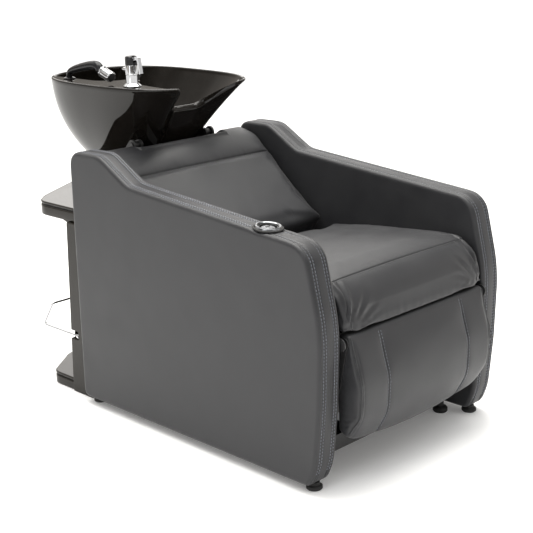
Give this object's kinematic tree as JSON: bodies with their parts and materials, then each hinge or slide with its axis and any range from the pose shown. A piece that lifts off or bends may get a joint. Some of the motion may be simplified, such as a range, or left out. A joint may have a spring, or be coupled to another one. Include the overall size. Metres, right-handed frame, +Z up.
{
  "type": "shampoo backwash unit",
  "caption": "Upholstered salon shampoo chair with powered legrest, gloss pedestal with shelf and towel rail, and a tilting ceramic basin with mixer and hand shower.",
  "frame": {"origin": "on the floor, at the centre of the unit's outline in plan", "axes": "+Z up, the sitter faces -Y with the basin and pedestal at +Y, +X towards the sitter's left"},
  "size_m": [0.7, 1.3222, 0.949],
  "materials": {
    "vinyl": "satin",
    "plywood": "satin",
    "gloss_black": "gloss",
    "ceramic": "gloss",
    "chrome": "polished",
    "steel": "brushed",
    "black_steel": "satin",
    "black_plastic": "matte",
    "rubber": "matte"
  },
  "bodies": {
    "chair": {"arm_right": "vinyl", "arm_left": "vinyl", "arm_board_right": "plywood", "arm_board_left": "plywood", "seat_cushion": "vinyl", "seat_board": "plywood", "backrest_cushion": "vinyl", "backrest_board": "plywood", "back_panel": "vinyl", "base_rails": "black_steel", "frame_feet": "rubber", "glide_feet": "rubber", "glide_studs": "steel", "panel_bolts": "steel", "hinge_bracket_right": "black_steel", "hinge_bracket_left": "black_steel", "hinge_pins": "black_steel", "actuator_mount": "steel", "control_box": "black_plastic", "power_inlet": "black_plastic", "switch_bezel": "chrome", "switch_housing": "black_plastic", "pedestal_body": "gloss_black", "shelf_body": "gloss_black", "shelf_panel": "gloss_black", "toe_body": "gloss_black", "toe_panel": "gloss_black", "access_panel": "gloss_black", "panel_screws": "chrome", "support_column": "steel", "column_cover": "gloss_black", "tilt_yoke": "black_steel", "tilt_pins": "black_steel", "tilt_bushes": "black_plastic", "stop_pads": "rubber", "towel_rail": "chrome", "rail_bosses": "chrome"},
    "basin": {"bowl": "ceramic", "bowl_saddle": "black_steel", "drain_flange": "chrome", "drain_tailpiece": "chrome", "mixer_body": "chrome", "mixer_nut": "steel", "handset_holder": "chrome"},
    "strainer": {"drain_strainer": "chrome"},
    "mixer_swivel": {"mixer_cap": "black_plastic"},
    "mixer_handle": {"mixer_lever": "chrome"},
    "handset": {"handset_grip": "gloss_black", "handset_collar": "chrome", "handset_spray": "chrome"},
    "legrest": {"legrest_pad": "vinyl", "legrest_board": "plywood", "legrest_bracket_right": "black_steel", "legrest_bracket_left": "black_steel", "push_bracket": "black_steel"},
    "ram_body": {"actuator_cylinder": "black_steel", "actuator_motor": "black_plastic"},
    "ram_rod": {"actuator_rod": "chrome"},
    "rocker": {"switch_rocker": "chrome"}
  },
  "joints": [
    {"name": "bowl_tilt", "type": "hinge", "parent": "chair", "child": "basin", "pos_m": [0, 0.256, 0.701], "axis": [1, 0, 0], "range_deg": [0, 10]},
    {"name": "strainer_lift", "type": "slide", "parent": "basin", "child": "strainer", "axis": [0, 0, 1], "range_m": [0, 0.05]},
    {"name": "lever_swivel", "type": "hinge", "parent": "basin", "child": "mixer_swivel", "pos_m": [-0.15, 0.238, 0.93], "axis": [0, 0, 1], "range_deg": [-50, 50]},
    {"name": "lever_lift", "type": "hinge", "parent": "mixer_swivel", "child": "mixer_handle", "pos_m": [-0.15, 0.226, 0.939], "axis": [-1, 0, 0], "range_deg": [0, 25]},
    {"name": "handset_lift", "type": "slide", "parent": "basin", "child": "handset", "axis": [0, 0, 1], "range_m": [0, 0.055]},
    {"name": "legrest_lift", "type": "hinge", "parent": "chair", "child": "legrest", "pos_m": [0, -0.612, 0.361], "axis": [-1, 0, 0], "range_deg": [0, 78]},
    {"name": "ram_swing", "type": "hinge", "parent": "chair", "child": "ram_body", "pos_m": [0, -0.339, 0.33], "axis": [1, 0, 0], "range_deg": [0, 3]},
    {"name": "ram_extend", "type": "slide", "parent": "ram_body", "child": "ram_rod", "axis": [0, -0.9919, -0.1268], "range_m": [0, 0.103]},
    {"name": "switch_rock", "type": "hinge", "parent": "chair", "child": "rocker", "pos_m": [-0.312, -0.42563, 0.60802], "axis": [1, 0, 0], "range_deg": [-6, 6], "stiffness_Nm_per_rad": 0.5}
  ],
  "couplings": [
    {"joint": "ram_swing", "follows": "legrest_lift", "ratio": 0.013327},
    {"joint": "ram_extend", "follows": "legrest_lift", "m_per_rad": 0.074775}
  ]
}
